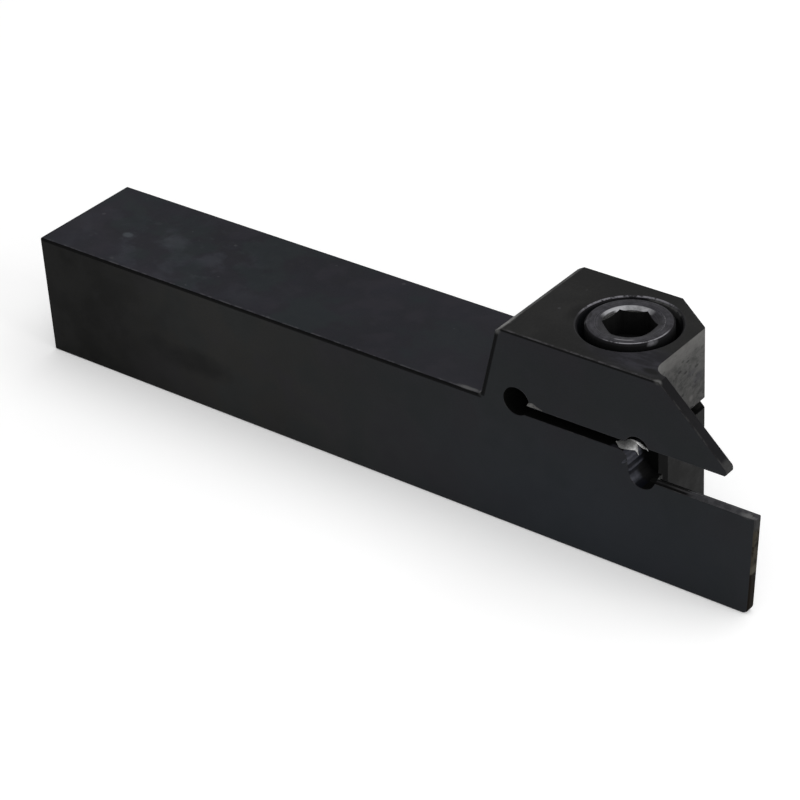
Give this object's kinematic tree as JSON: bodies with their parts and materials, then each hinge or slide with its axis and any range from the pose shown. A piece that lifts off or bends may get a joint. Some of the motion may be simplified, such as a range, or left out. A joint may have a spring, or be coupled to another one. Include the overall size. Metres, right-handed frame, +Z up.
{
  "type": "turning tool holder",
  "caption": "External grooving holder with a square shank, a thin blade with a spring-cut insert seat, and a socket head clamp screw.",
  "frame": {"origin": "centre of the footprint, on the underside of the shank", "axes": "+X along the shank towards the cutting end, +Z up, +Y away from the blade side"},
  "size_m": [0.1026, 0.016, 0.0257],
  "materials": {
    "body_steel": "black oxide, worn at edges",
    "screw_steel": "black oxide, worn bright round the socket"
  },
  "bodies": {
    "holder": {"holder_body": "body_steel"},
    "screw": {"clamp_screw": "screw_steel"}
  },
  "joints": [
    {"name": "clamp_screw_turn", "type": "hinge", "parent": "holder", "child": "screw", "pos_m": [0.03022, 0.00045, 0.01965], "axis": [0, 0, 1], "continuous": true}
  ]
}
